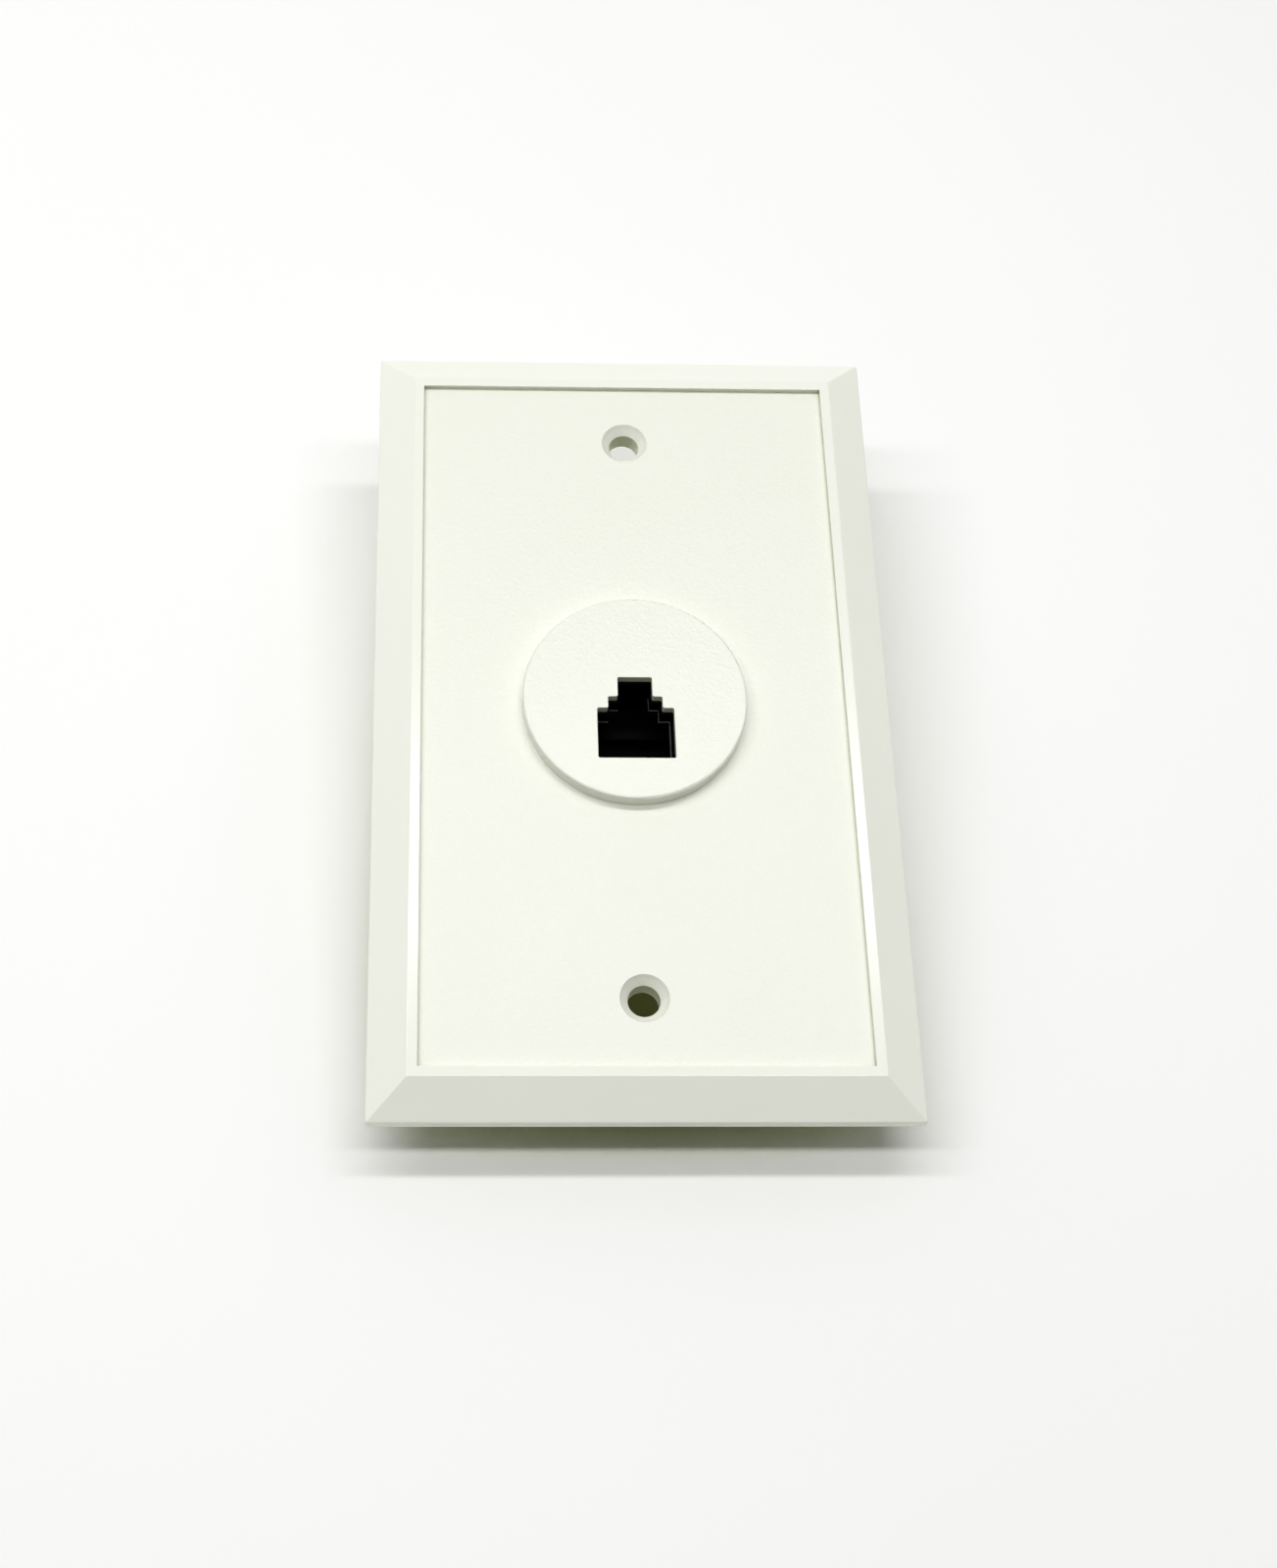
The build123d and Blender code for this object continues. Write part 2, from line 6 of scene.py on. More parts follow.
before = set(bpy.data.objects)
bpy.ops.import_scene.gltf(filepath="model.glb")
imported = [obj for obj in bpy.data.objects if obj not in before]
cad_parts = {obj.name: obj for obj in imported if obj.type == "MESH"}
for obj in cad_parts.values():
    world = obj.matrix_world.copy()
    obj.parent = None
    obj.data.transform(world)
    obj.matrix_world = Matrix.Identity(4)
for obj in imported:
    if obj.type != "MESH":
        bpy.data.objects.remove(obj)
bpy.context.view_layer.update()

# A flush telephone wall socket, taken off the wall and laid on its back on a white table.
# Metres, in the wall's own frame: X to the right, Z up the wall, Y into the wall.
scene = bpy.context.scene
scene.view_settings.view_transform = "Standard"

# Camera. Above the table and beyond the plate's lower edge, turned towards its upper one, so
# that the bottom bevel and the shadow under it show. Its place and turn were worked out from
# where the plate's four outer corners lie in the photograph.
camera_place = Vector((-0.025368, -0.256559, -0.130220))
camera_right = Vector((0.999370, -0.033959, -0.010300)).normalized()
camera_back = Vector((-0.035113, -0.904232, -0.425595)).normalized()
camera_up = camera_back.cross(camera_right).normalized()
camera_right = camera_up.cross(camera_back)
camera_data = bpy.data.cameras.new("camera")
camera_data.sensor_width = 36
camera_data.lens = 48.736
camera_data.shift_x = 0.0763
camera_data.shift_y = -0.0031
camera_data.clip_start = 0.01
camera = bpy.data.objects.new("camera", camera_data)
scene.collection.objects.link(camera)
camera_turn = Matrix((camera_right, camera_up, camera_back)).transposed().to_4x4()
camera.matrix_world = Matrix.Translation(camera_place) @ camera_turn
scene.camera = camera

# Table. A white laminate sheet. The socket lies on its rear body and its leads, so the sheet
# is a little nearer to the plate's lower edge than to its upper one. Under and round the socket,
# where the sheet is closed in, painted shade darkens it towards olive and deepens its shadow.
table_gap = 0.0150
table_slope = 0.1230
table_size = 3.0
table_dark, table_light = "#FAFAFA", "#FCFCFC"
table_patches_per_metre = 9.0
table_reach = 0.04
table_closed_in, table_wide_open = 0.12, 1.0
table_painted_shade = "#8F9359"
table_painted_shade_steps = ((0.25, "#AAB06A"), (0.58, "#FFFFFC"), (0.82, "#F8F8F6"))
lift_from, lift_to = 0.7, 0.95
lift_most = 0.15

# Socket numbers of a Mix node for colours: its share, its two colours, and what it gives.
mix_share, mix_a, mix_b, mixed = 0, 6, 7, 2


def linear(hex_value):
    # The linear colour of an sRGB hex value.
    parts = [int(hex_value[i:i + 2], 16) / 255 for i in (1, 3, 5)]
    return tuple(p / 12.92 if p <= 0.04045 else ((p + 0.055) / 1.055) ** 2.4 for p in parts) + (1.0,)


def add(nodes, kind, links=(), **settings):
    # A node with its settings, and each of its inputs linked or set.
    node = nodes.new(kind)
    for name, value in settings.items():
        setattr(node, name, value)
    for name, value in dict(links).items():
        if isinstance(value, bpy.types.NodeSocket):
            node.id_data.links.new(value, node.inputs[name])
        else:
            node.inputs[name].default_value = value
    return node


def new_material(name):
    # A material that is still empty, and its nodes.
    material = bpy.data.materials.new(name)
    material.use_nodes = True
    material.node_tree.nodes.clear()
    return material, material.node_tree.nodes


half = table_size / 2
corners = []
for x, z in ((-half, -half), (half, -half), (half, half), (-half, half)):
    corners.append((x, table_gap + table_slope * z, z))
table_mesh = bpy.data.meshes.new("table")
table_mesh.from_pydata(corners, [], [(0, 1, 2, 3)])
table = bpy.data.objects.new("table", table_mesh)
scene.collection.objects.link(table)

laminate, nodes = new_material("white_laminate")
place = add(nodes, "ShaderNodeTexCoord")
cloud = add(nodes, "ShaderNodeTexNoise", {
    "Vector": place.outputs["Object"], "Scale": table_patches_per_metre, "Detail": 2.0,
})
tone = add(nodes, "ShaderNodeMix", {
    mix_share: cloud.outputs["Fac"], mix_a: linear(table_dark), mix_b: linear(table_light),
}, data_type="RGBA")
# Painted shade: the more closed in the sheet is, the darker and more olive its colour.
openness = add(nodes, "ShaderNodeAmbientOcclusion", {"Distance": table_reach}, samples=16)
painted_shade = add(nodes, "ShaderNodeValToRGB", {"Fac": openness.outputs["AO"]})
stops = painted_shade.color_ramp.elements
stops[0].position = table_closed_in
stops[0].color = linear(table_painted_shade)
stops[1].position = table_wide_open
for position, colour in table_painted_shade_steps:
    stops.new(position).color = linear(colour)
tone = add(nodes, "ShaderNodeMix", {
    mix_share: 1.0, mix_a: tone.outputs[mixed], mix_b: painted_shade.outputs[0],
}, data_type="RGBA", blend_type="MULTIPLY")
sheet = add(nodes, "ShaderNodeBsdfPrincipled", {
    "Base Color": tone.outputs[mixed], "Roughness": 0.6, "Specular IOR Level": 0.2,
})

# To the camera, in mirrors and through glass the open sheet gets a painted glow that lifts it a
# little towards its own plain colour; the glow fades out where the sheet is closed in under the
# socket. The light that it gives to the socket stays as it is.
plain = add(nodes, "ShaderNodeEmission", {"Color": tone.outputs[mixed], "Strength": 1.0})
path = add(nodes, "ShaderNodeLightPath")
seen = add(nodes, "ShaderNodeMath", {
    0: path.outputs["Is Camera Ray"], 1: path.outputs["Is Glossy Ray"],
}, operation="MAXIMUM")
seen = add(nodes, "ShaderNodeMath", {
    0: seen.outputs[0], 1: path.outputs["Is Transmission Ray"],
}, operation="MAXIMUM")
painted_glow = add(nodes, "ShaderNodeMapRange", {
    "Value": openness.outputs["AO"], "From Min": lift_from, "From Max": lift_to, "To Max": lift_most,
})
painted_glow = add(nodes, "ShaderNodeMath", {0: seen.outputs[0], 1: painted_glow.outputs[0]}, operation="MULTIPLY")
sheet = add(nodes, "ShaderNodeMixShader", {0: painted_glow.outputs[0], 1: sheet.outputs[0], 2: plain.outputs[0]})

# From behind the sheet is clear, and it casts no shadow, so that the socket's back shows.
clear = add(nodes, "ShaderNodeBsdfTransparent")
side = add(nodes, "ShaderNodeNewGeometry")
through = add(nodes, "ShaderNodeMath", {
    0: side.outputs["Backfacing"], 1: path.outputs["Is Shadow Ray"],
}, operation="MAXIMUM")
surface = add(nodes, "ShaderNodeMixShader", {
    0: through.outputs[0], 1: sheet.outputs[0], 2: clear.outputs[0],
})
add(nodes, "ShaderNodeOutputMaterial", {"Surface": surface.outputs[0]})
table_mesh.materials.append(laminate)

# Light. Two long soft strips over the table, side by side, one above the plate and one
# beyond its upper edge, give each edge the two steps of its shadow. A broad soft lamp at the
# back lights only the pieces behind the plate. A lamp shines against its own third axis.
strip_x = -0.16
strip_height = 0.68
strip_length = 1.1
strip_width = 0.06
for name, strip_z, power in (("strip_near", -0.002, 2.46), ("strip_far", 0.269, 3.46)):
    strip_data = bpy.data.lights.new(name, "AREA")
    strip_data.shape = "RECTANGLE"
    strip_data.size = strip_length
    strip_data.size_y = strip_width
    strip_data.energy = power
    strip = bpy.data.objects.new(name, strip_data)
    scene.collection.objects.link(strip)
    strip.matrix_world = Matrix((
        (1, 0, 0, strip_x),
        (0, 0, -1, -strip_height),
        (0, 1, 0, strip_z),
        (0, 0, 0, 1),
    ))
    strip.visible_camera = False
rear_depth = 0.6
rear_z = 0.15
rear_size = 0.5
rear_data = bpy.data.lights.new("rear_fill", "AREA")
rear_data.shape = "RECTANGLE"
rear_data.size = rear_size
rear_data.size_y = rear_size
rear_data.energy = 3.0
rear_fill = bpy.data.objects.new("rear_fill", rear_data)
scene.collection.objects.link(rear_fill)
rear_fill.matrix_world = Matrix((
    (1, 0, 0, 0),
    (0, 0, 1, rear_depth),
    (0, -1, 0, rear_z),
    (0, 0, 0, 1),
))
rear_fill.visible_camera = False
rear_parts = bpy.data.collections.new("rear_parts")
for name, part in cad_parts.items():
    if name != "face_plate":
        rear_parts.objects.link(part)
rear_fill.light_linking.receiver_collection = rear_parts

# Room. White walls and ceiling, seen as plain white. The light they give is strongest from
# beyond the plate's upper edge, weakest and yellower from round the camera, and stronger again
# from beyond the lower edge. The stops run from straight down the wall to straight up it.
room_from_below = (0.340, 0.342, 0.262, 1.0)
room_from_above = (0.442, 0.451, 0.442, 1.0)
room_between = (
    (0.12, (0.120, 0.120, 0.084, 1.0)),
    (0.32, (0.030, 0.030, 0.021, 1.0)),
    (0.50, (0.148, 0.150, 0.140, 1.0)),
    (0.75, (0.355, 0.362, 0.352, 1.0)),
)
world = bpy.data.worlds.new("white_room")
scene.world = world
world.use_nodes = True
nodes = world.node_tree.nodes
nodes.clear()
path = add(nodes, "ShaderNodeLightPath")
seen = add(nodes, "ShaderNodeMath", {
    0: path.outputs["Is Camera Ray"], 1: path.outputs["Is Glossy Ray"],
}, operation="MAXIMUM")
seen = add(nodes, "ShaderNodeMath", {
    0: seen.outputs[0], 1: path.outputs["Is Transmission Ray"],
}, operation="MAXIMUM")
walls = add(nodes, "ShaderNodeBackground", {"Color": (1, 1, 1, 1), "Strength": 1.0})
place = add(nodes, "ShaderNodeTexCoord")
split = add(nodes, "ShaderNodeSeparateXYZ", {0: place.outputs["Generated"]})
upward = add(nodes, "ShaderNodeMapRange", {"Value": split.outputs["Z"], "From Min": -1.0})
level = add(nodes, "ShaderNodeValToRGB", {"Fac": upward.outputs[0]})
stops = level.color_ramp.elements
stops[0].color = room_from_below
stops[1].color = room_from_above
for position, colour in room_between:
    stops.new(position).color = colour
ambient = add(nodes, "ShaderNodeBackground", {"Color": level.outputs[0]})
room = add(nodes, "ShaderNodeMixShader", {0: seen.outputs[0], 1: ambient.outputs[0], 2: walls.outputs[0]})
add(nodes, "ShaderNodeOutputWorld", {"Surface": room.outputs[0]})

# Face plate. One off-white ABS moulding. The mould is spark-eroded over the panel and the
# boss, which gives a fine dull grain, and polished on the land, the bevel and the lip.
# Ejector pins have left shallow rings on its back.
plate_dark, plate_light = "#EEF0E5", "#F2F3EA"
plate_patch = 0.022
grain_painted_shade = "#F9F9F8"
grain_size = 0.00045
grain_relief, polished_relief = 0.00006, 0.000004
panel_rough, boss_rough, polished_rough = 0.34, 0.25, 0.19
panel_end_x = (0.02825, 0.02855)
panel_end_z = (0.05045, 0.05075)
panel_end_y = (-0.0036, -0.0034)
boss_radius = 0.0151
boss_rim_radius, boss_rim_band = 0.0153, 0.0007
narrow_reach = 0.0045
narrow_painted_shade = "#9AA168"
narrow_from, narrow_to = 0.2, 0.58
plate_pin_x, plate_pin_z = 0.0195, 0.0345
plate_pin_edge = (0.00245, 0.0026)
plate_pin_depth = 0.00006
abs_plastic, nodes = new_material("moulded_abs_off_white")

# Zones of the mould. The grain fades out between each pair of ends given above. The land, the
# bevel and the lip are polished, and the plate's back has the panel's roughness, but no grain.
place = add(nodes, "ShaderNodeTexCoord")
split = add(nodes, "ShaderNodeSeparateXYZ", {0: place.outputs["Object"]})
across = add(nodes, "ShaderNodeMath", {0: split.outputs["X"]}, operation="ABSOLUTE")
along = add(nodes, "ShaderNodeMath", {0: split.outputs["Z"]}, operation="ABSOLUTE")
panel_x = add(nodes, "ShaderNodeMapRange", {
    "Value": across.outputs[0],
    "From Min": panel_end_x[0], "From Max": panel_end_x[1], "To Min": 1.0, "To Max": 0.0,
})
panel_z = add(nodes, "ShaderNodeMapRange", {
    "Value": along.outputs[0],
    "From Min": panel_end_z[0], "From Max": panel_end_z[1], "To Min": 1.0, "To Max": 0.0,
})
front = add(nodes, "ShaderNodeMapRange", {
    "Value": split.outputs["Y"],
    "From Min": panel_end_y[0], "From Max": panel_end_y[1], "To Min": 1.0, "To Max": 0.0,
})
panel = add(nodes, "ShaderNodeMath", {0: panel_x.outputs[0], 1: panel_z.outputs[0]}, operation="MULTIPLY")
grained = add(nodes, "ShaderNodeMath", {0: panel.outputs[0], 1: front.outputs[0]}, operation="MULTIPLY")
edge = add(nodes, "ShaderNodeMath", {0: 1.0, 1: panel.outputs[0]}, operation="SUBTRACT")
polished = add(nodes, "ShaderNodeMath", {0: front.outputs[0], 1: edge.outputs[0]}, operation="MAXIMUM")
from_axis = add(nodes, "ShaderNodeVectorMath", {
    0: place.outputs["Object"], 1: (1.0, 0.0, 1.0),
}, operation="MULTIPLY")
from_axis = add(nodes, "ShaderNodeVectorMath", {0: from_axis.outputs[0]}, operation="LENGTH")
on_boss = add(nodes, "ShaderNodeMath", {
    0: from_axis.outputs["Value"], 1: boss_radius,
}, operation="LESS_THAN")

# Colour. Narrow places, such as the holes, the plug opening and the recess walls, are darkened
# towards olive by painted shade, standing in for the dimmer light that has passed from wall to
# wall there. The boss's wall and its foot stand open, so the painted shade is kept off them.
patches = add(nodes, "ShaderNodeTexNoise", {
    "Vector": place.outputs["Object"], "Scale": 1 / plate_patch, "Detail": 3.0,
})
colour = add(nodes, "ShaderNodeMix", {
    mix_share: patches.outputs["Fac"], mix_a: linear(plate_dark), mix_b: linear(plate_light),
}, data_type="RGBA")
# Painted shade: the grained zones are made a little darker than the polished ones, for the grain's pits.
colour = add(nodes, "ShaderNodeMix", {
    mix_share: grained.outputs[0], mix_a: colour.outputs[mixed], mix_b: linear(grain_painted_shade),
}, data_type="RGBA", blend_type="MULTIPLY")
# Painted shade: the more closed in a spot is, the darker and more olive it is made.
openness = add(nodes, "ShaderNodeAmbientOcclusion", {"Distance": narrow_reach}, samples=4)
painted_shade = add(nodes, "ShaderNodeValToRGB", {"Fac": openness.outputs["AO"]})
stops = painted_shade.color_ramp.elements
stops[0].position = narrow_from
stops[0].color = linear(narrow_painted_shade)
stops[1].position = narrow_to
boss_rim = add(nodes, "ShaderNodeMath", {
    0: from_axis.outputs["Value"], 1: boss_rim_radius, 2: boss_rim_band,
}, operation="COMPARE")
painted_shade_mask = add(nodes, "ShaderNodeMath", {0: 1.0, 1: boss_rim.outputs[0]}, operation="SUBTRACT")
colour = add(nodes, "ShaderNodeMix", {
    mix_share: painted_shade_mask.outputs[0], mix_a: colour.outputs[mixed], mix_b: painted_shade.outputs[0],
}, data_type="RGBA", blend_type="MULTIPLY")

# Gloss, grain and ejector rings. The grain is drawn coarse enough to show.
dull = add(nodes, "ShaderNodeMapRange", {
    "Value": on_boss.outputs[0], "To Min": panel_rough, "To Max": boss_rough,
})
polish = add(nodes, "ShaderNodeMapRange", {
    "Value": polished.outputs[0], "To Min": panel_rough, "To Max": polished_rough,
})
rough = add(nodes, "ShaderNodeMix", {
    "Factor": grained.outputs[0], "A": polish.outputs[0], "B": dull.outputs[0],
})
grain = add(nodes, "ShaderNodeTexNoise", {
    "Vector": place.outputs["Object"], "Scale": 1 / grain_size, "Detail": 3.0, "Roughness": 0.6,
})
depth = add(nodes, "ShaderNodeMapRange", {
    "Value": grained.outputs[0], "To Min": polished_relief, "To Max": grain_relief,
})
relief = add(nodes, "ShaderNodeBump", {
    "Height": grain.outputs["Fac"], "Distance": depth.outputs[0], "Strength": 1.0,
})
pin_x = add(nodes, "ShaderNodeMath", {0: across.outputs[0], 1: plate_pin_x}, operation="SUBTRACT")
pin_z = add(nodes, "ShaderNodeMath", {0: along.outputs[0], 1: plate_pin_z}, operation="SUBTRACT")
pin = add(nodes, "ShaderNodeCombineXYZ", {0: pin_x.outputs[0], 1: pin_z.outputs[0]})
pin = add(nodes, "ShaderNodeVectorMath", {0: pin.outputs[0]}, operation="LENGTH")
pin = add(nodes, "ShaderNodeMapRange", {
    "Value": pin.outputs["Value"], "From Min": plate_pin_edge[0], "From Max": plate_pin_edge[1],
})
back = add(nodes, "ShaderNodeMath", {0: 1.0, 1: front.outputs[0]}, operation="SUBTRACT")
pin_depth = add(nodes, "ShaderNodeMath", {0: back.outputs[0], 1: plate_pin_depth}, operation="MULTIPLY")
relief = add(nodes, "ShaderNodeBump", {
    "Height": pin.outputs[0], "Distance": pin_depth.outputs[0], "Normal": relief.outputs[0],
})
shell = add(nodes, "ShaderNodeBsdfPrincipled", {
    "Base Color": colour.outputs[mixed], "Roughness": rough.outputs[0],
    "Normal": relief.outputs[0], "IOR": 1.53,
})
add(nodes, "ShaderNodeOutputMaterial", {"Surface": shell.outputs[0]})
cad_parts["face_plate"].material_slots[0].material = abs_plastic

# Jack shell. Black moulded polycarbonate, close behind the plate's opening. Its own colour is
# the dark grey of its rear. Inside, it is painted plain black as painted shade, with a thin
# grey painted highlight along the rear edges of its mouth.
mouth_painted_shade_dark, mouth_painted_shade_light = "#000000", "#020202"
shell_rear_dark, shell_rear_light = "#1C1C1D", "#262627"
shell_rear_from, shell_rear_to = 0.0044, 0.0052
shell_patch = 0.0008
shell_relief = 0.00001
glint_grey = "#C8C8CC"
glint_y, glint_band = -0.00216, 0.0003
glint_half_width = 0.00495
glint_z, glint_half_height = -0.0036, 0.0052
black_shell, nodes = new_material("moulded_polycarbonate_black")
place = add(nodes, "ShaderNodeTexCoord")
split = add(nodes, "ShaderNodeSeparateXYZ", {0: place.outputs["Object"]})
cloud = add(nodes, "ShaderNodeTexNoise", {
    "Vector": place.outputs["Object"], "Scale": 1 / shell_patch, "Detail": 3.0,
})
# Painted shade: inside, the shell is pure black; its rear keeps its own dark grey.
painted_inside = add(nodes, "ShaderNodeMix", {
    mix_share: cloud.outputs["Fac"], mix_a: linear(mouth_painted_shade_dark), mix_b: linear(mouth_painted_shade_light),
}, data_type="RGBA")
outer = add(nodes, "ShaderNodeMix", {
    mix_share: cloud.outputs["Fac"], mix_a: linear(shell_rear_dark), mix_b: linear(shell_rear_light),
}, data_type="RGBA")
rear = add(nodes, "ShaderNodeMapRange", {
    "Value": split.outputs["Y"], "From Min": shell_rear_from, "From Max": shell_rear_to,
})
colour = add(nodes, "ShaderNodeMix", {
    mix_share: rear.outputs[0], mix_a: painted_inside.outputs[mixed], mix_b: outer.outputs[mixed],
}, data_type="RGBA")
# Painted highlight: a thin grey band along the rear edges of the mouth, where they catch the light.
at_depth = add(nodes, "ShaderNodeMath", {
    0: split.outputs["Y"], 1: glint_y, 2: glint_band,
}, operation="COMPARE")
at_width = add(nodes, "ShaderNodeMath", {
    0: split.outputs["X"], 1: 0.0, 2: glint_half_width,
}, operation="COMPARE")
at_height = add(nodes, "ShaderNodeMath", {
    0: split.outputs["Z"], 1: glint_z, 2: glint_half_height,
}, operation="COMPARE")
glint = add(nodes, "ShaderNodeMath", {
    0: at_width.outputs[0], 1: at_height.outputs[0],
}, operation="MULTIPLY")
glint = add(nodes, "ShaderNodeMath", {
    0: glint.outputs[0], 1: at_depth.outputs[0],
}, operation="MULTIPLY")
colour = add(nodes, "ShaderNodeMix", {
    mix_share: glint.outputs[0], mix_a: colour.outputs[mixed], mix_b: linear(glint_grey),
}, data_type="RGBA")
relief = add(nodes, "ShaderNodeBump", {"Height": cloud.outputs["Fac"], "Distance": shell_relief})
shell = add(nodes, "ShaderNodeBsdfPrincipled", {
    "Base Color": colour.outputs[mixed], "Roughness": 0.45, "Normal": relief.outputs[0],
    "Specular IOR Level": 0.02,
})
add(nodes, "ShaderNodeOutputMaterial", {"Surface": shell.outputs[0]})
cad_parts["jack_housing"].material_slots[0].material = black_shell

# Contact comb. Black glass-filled PBT, duller than the shell because the glass fibres roughen
# its skin. Its own colour is the dark grey of its rear; inside, it is painted plain black as
# painted shade. The fibres are drawn 0.3 mm wide, far coarser than real ones.
comb_painted_shade_dark, comb_painted_shade_light = "#010101", "#040404"
comb_rear_dark, comb_rear_light = "#222223", "#303030"
comb_rear_from, comb_rear_to = 0.0064, 0.0068
fibre_width = 0.0003
fibre_squeeze = (1.0, 0.25, 1.0)
fibre_relief = 0.00002
black_pbt, nodes = new_material("moulded_pbt_black")
place = add(nodes, "ShaderNodeTexCoord")
split = add(nodes, "ShaderNodeSeparateXYZ", {0: place.outputs["Object"]})
drawn_out = add(nodes, "ShaderNodeMapping", {
    "Vector": place.outputs["Object"], "Scale": fibre_squeeze,
})
fibres = add(nodes, "ShaderNodeTexNoise", {
    "Vector": drawn_out.outputs[0], "Scale": 1 / fibre_width, "Detail": 4.0, "Roughness": 0.65,
})
# Painted shade: inside, the comb is pure black; its rear keeps its own dark grey.
painted_inside = add(nodes, "ShaderNodeMix", {
    mix_share: fibres.outputs["Fac"], mix_a: linear(comb_painted_shade_dark), mix_b: linear(comb_painted_shade_light),
}, data_type="RGBA")
outer = add(nodes, "ShaderNodeMix", {
    mix_share: fibres.outputs["Fac"], mix_a: linear(comb_rear_dark), mix_b: linear(comb_rear_light),
}, data_type="RGBA")
rear = add(nodes, "ShaderNodeMapRange", {
    "Value": split.outputs["Y"], "From Min": comb_rear_from, "From Max": comb_rear_to,
})
colour = add(nodes, "ShaderNodeMix", {
    mix_share: rear.outputs[0], mix_a: painted_inside.outputs[mixed], mix_b: outer.outputs[mixed],
}, data_type="RGBA")
relief = add(nodes, "ShaderNodeBump", {"Height": fibres.outputs["Fac"], "Distance": fibre_relief})
comb = add(nodes, "ShaderNodeBsdfPrincipled", {
    "Base Color": colour.outputs[mixed], "Roughness": 0.6, "Normal": relief.outputs[0],
    "Specular IOR Level": 0.04,
})
add(nodes, "ShaderNodeOutputMaterial", {"Surface": comb.outputs[0]})
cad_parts["contact_carrier"].material_slots[0].material = black_pbt

# Contact wires. Drawn phosphor bronze, gold flashed: a smooth warm metal with faint lines
# from the drawing die. The lines are drawn 0.12 mm apart, coarser than real ones.
gold_dark, gold_light = "#C59B4C", "#D8B266"
line_spacing = 0.00012
line_squeeze = (1.0, 0.06, 0.4)
line_relief = 0.000004
gold_flash, nodes = new_material("gold_flashed_bronze")
place = add(nodes, "ShaderNodeTexCoord")
drawn_out = add(nodes, "ShaderNodeMapping", {
    "Vector": place.outputs["Object"], "Scale": line_squeeze,
})
lines = add(nodes, "ShaderNodeTexNoise", {
    "Vector": drawn_out.outputs[0], "Scale": 1 / line_spacing, "Detail": 2.0,
})
colour = add(nodes, "ShaderNodeMix", {
    mix_share: lines.outputs["Fac"], mix_a: linear(gold_dark), mix_b: linear(gold_light),
}, data_type="RGBA")
rough = add(nodes, "ShaderNodeMapRange", {"Value": lines.outputs["Fac"], "To Min": 0.22, "To Max": 0.36})
relief = add(nodes, "ShaderNodeBump", {"Height": lines.outputs["Fac"], "Distance": line_relief})
wire = add(nodes, "ShaderNodeBsdfPrincipled", {
    "Base Color": colour.outputs[mixed], "Metallic": 1.0, "Roughness": rough.outputs[0],
    "Normal": relief.outputs[0],
})
add(nodes, "ShaderNodeOutputMaterial", {"Surface": wire.outputs[0]})
for number in range(1, 5):
    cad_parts[f"contact_wire_{number}"].material_slots[0].material = gold_flash

# Terminal block. A box moulded in the same off-white ABS as the plate, with an even satin skin
# and, on its web, the round marks of the ejector pins. The satin's grain is drawn coarse
# enough to show.
block_dark, block_light = "#E9EADC", "#F0F0E4"
block_patch = 0.012
satin_size = 0.0005
satin_relief = 0.000015
block_pin_x, block_pin_z = 0.0148, 0.0072
block_pin_edge = (0.0017, 0.0018)
block_pin_depth = 0.00006
block_abs, nodes = new_material("moulded_abs_satin")
place = add(nodes, "ShaderNodeTexCoord")
patches = add(nodes, "ShaderNodeTexNoise", {
    "Vector": place.outputs["Object"], "Scale": 1 / block_patch, "Detail": 3.0,
})
satin = add(nodes, "ShaderNodeTexNoise", {
    "Vector": place.outputs["Object"], "Scale": 1 / satin_size, "Detail": 3.0,
})
colour = add(nodes, "ShaderNodeMix", {
    mix_share: patches.outputs["Fac"], mix_a: linear(block_dark), mix_b: linear(block_light),
}, data_type="RGBA")
rough = add(nodes, "ShaderNodeMapRange", {"Value": satin.outputs["Fac"], "To Min": 0.36, "To Max": 0.5})
relief = add(nodes, "ShaderNodeBump", {"Height": satin.outputs["Fac"], "Distance": satin_relief})
split = add(nodes, "ShaderNodeSeparateXYZ", {0: place.outputs["Object"]})
across = add(nodes, "ShaderNodeMath", {0: split.outputs["X"]}, operation="ABSOLUTE")
along = add(nodes, "ShaderNodeMath", {0: split.outputs["Z"]}, operation="ABSOLUTE")
pin_x = add(nodes, "ShaderNodeMath", {0: across.outputs[0], 1: block_pin_x}, operation="SUBTRACT")
pin_z = add(nodes, "ShaderNodeMath", {0: along.outputs[0], 1: block_pin_z}, operation="SUBTRACT")
pin = add(nodes, "ShaderNodeCombineXYZ", {0: pin_x.outputs[0], 1: pin_z.outputs[0]})
pin = add(nodes, "ShaderNodeVectorMath", {0: pin.outputs[0]}, operation="LENGTH")
pin = add(nodes, "ShaderNodeMapRange", {
    "Value": pin.outputs["Value"], "From Min": block_pin_edge[0], "From Max": block_pin_edge[1],
})
relief = add(nodes, "ShaderNodeBump", {
    "Height": pin.outputs[0], "Distance": block_pin_depth, "Normal": relief.outputs[0],
})
box = add(nodes, "ShaderNodeBsdfPrincipled", {
    "Base Color": colour.outputs[mixed], "Roughness": rough.outputs[0],
    "Normal": relief.outputs[0], "IOR": 1.53,
})
add(nodes, "ShaderNodeOutputMaterial", {"Surface": box.outputs[0]})
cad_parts["terminal_block"].material_slots[0].material = block_abs

